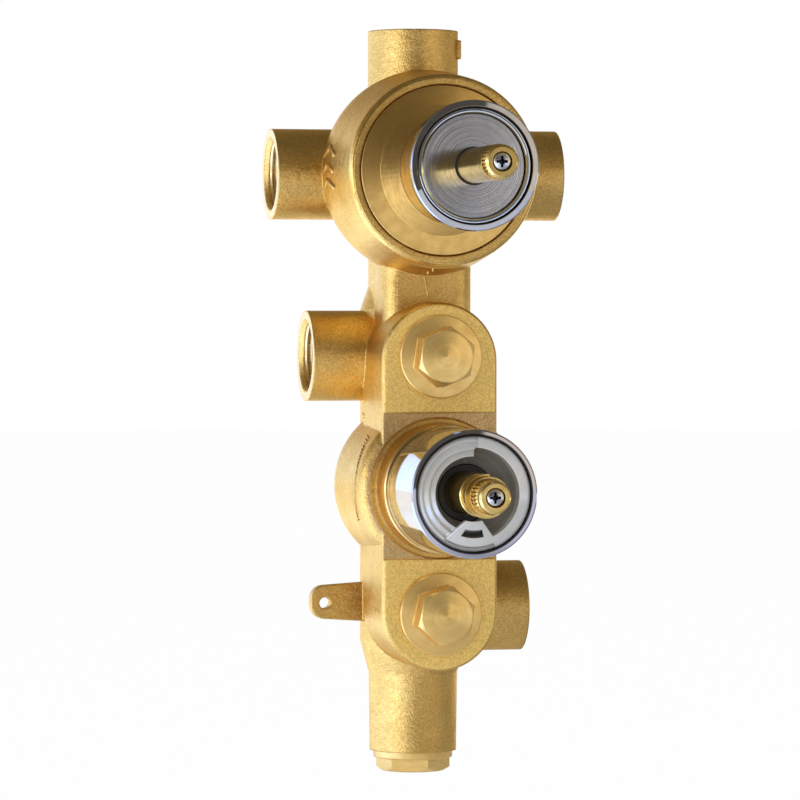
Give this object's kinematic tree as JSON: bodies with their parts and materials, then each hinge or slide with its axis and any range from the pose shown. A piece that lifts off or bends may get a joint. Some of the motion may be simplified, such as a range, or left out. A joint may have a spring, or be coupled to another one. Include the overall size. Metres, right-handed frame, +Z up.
{
  "type": "concealed thermostatic shower valve",
  "caption": "Cast brass shower mixing valve for building into a wall, with a three-way diverter above, a mixing cartridge below, side inlets, plugged check valves and a fixing ear.",
  "frame": {"origin": "where the thread of the top outlet starts, on the pipe line that all five sockets share", "axes": "+Z up along the top outlet, -Y forward along the diverter's stem, +X to the right outlet"},
  "size_m": [0.107, 0.16, 0.2726],
  "materials": {
    "cast_brass": "sand cast, fine grain",
    "plug_brass": "forged and lightly machined",
    "bonnet_brass": "turned, bright",
    "stem_brass": "turned, satin",
    "inner_brass": "machined",
    "chrome": "polished plating",
    "brushed_plate": "turned in fine rings",
    "screw_steel": "bright",
    "spring_steel": "drawn wire",
    "grey_plastic": "moulded, satin",
    "black_plastic": "moulded",
    "white_plastic": "moulded",
    "ceramic": "lapped",
    "rubber": "moulded",
    "copper": "drawn copper"
  },
  "bodies": {
    "body": {"valve_body": "cast_brass", "tube_plug": "plug_brass", "tube_plug_o_ring": "rubber", "diverter_bonnet": "bonnet_brass", "bonnet_o_ring": "rubber", "diverter_collar": "chrome", "retaining_ring": "chrome", "face_plate": "brushed_plate", "stem_wiper": "rubber", "diverter_cage": "white_plastic", "cage_o_ring": "rubber", "fixed_disc": "ceramic", "disc_seal": "rubber", "diverter_thrust_washer": "white_plastic", "cartridge_nut": "bonnet_brass", "trim_sleeve": "chrome", "stop_ring": "grey_plastic", "spindle_bush": "black_plastic", "cartridge_body": "inner_brass", "cartridge_o_rings": "rubber", "inlet_screens": "spring_steel", "mixer_thrust_washer": "white_plastic", "return_spring": "spring_steel", "hot_plug": "plug_brass", "hot_plug_o_ring": "rubber", "hot_strainer": "spring_steel", "hot_check_cage": "white_plastic", "hot_check_spring": "spring_steel", "cold_plug": "plug_brass", "cold_plug_o_ring": "rubber", "cold_strainer": "spring_steel", "cold_check_cage": "white_plastic", "cold_check_spring": "spring_steel"},
    "diverter_stem": {"diverter_spindle": "inner_brass", "diverter_spindle_o_ring": "rubber", "moving_disc": "ceramic", "diverter_extension": "stem_brass", "diverter_screw": "screw_steel"},
    "temperature_stem": {"temperature_spindle": "inner_brass", "temperature_spindle_o_ring": "rubber", "temperature_extension": "stem_brass", "temperature_screw": "screw_steel", "extension_clip": "spring_steel"},
    "regulator": {"driver_nut": "inner_brass", "overload_spring": "spring_steel", "wax_element": "copper", "shuttle": "inner_brass"},
    "hot_poppet": {"hot_check_poppet": "black_plastic"},
    "cold_poppet": {"cold_check_poppet": "black_plastic"}
  },
  "joints": [
    {"name": "diverter_turn", "type": "hinge", "parent": "body", "child": "diverter_stem", "pos_m": [0, -0.1, -0.0514], "axis": [0, -1, 0], "range_deg": [-90, 90]},
    {"name": "temperature_turn", "type": "hinge", "parent": "body", "child": "temperature_stem", "pos_m": [0, -0.1, -0.1653], "axis": [0, -1, 0], "range_deg": [-160, 110]},
    {"name": "regulator_slide", "type": "slide", "parent": "body", "child": "regulator", "axis": [0, 1, 0], "range_m": [-0.00089, 0.00061], "deforming": ["return_spring"]},
    {"name": "hot_check_open", "type": "slide", "parent": "body", "child": "hot_poppet", "axis": [0, -1, 0], "range_m": [0, 0.0025], "stiffness_N_per_m": 100, "springref_m": -0.002, "deforming": ["hot_check_spring"]},
    {"name": "cold_check_open", "type": "slide", "parent": "body", "child": "cold_poppet", "axis": [0, -1, 0], "range_m": [0, 0.0025], "stiffness_N_per_m": 100, "springref_m": -0.002, "deforming": ["cold_check_spring"]}
  ],
  "couplings": [
    {"joint": "temperature_turn", "follows": "regulator_slide", "rad_per_m": 3141.6}
  ]
}
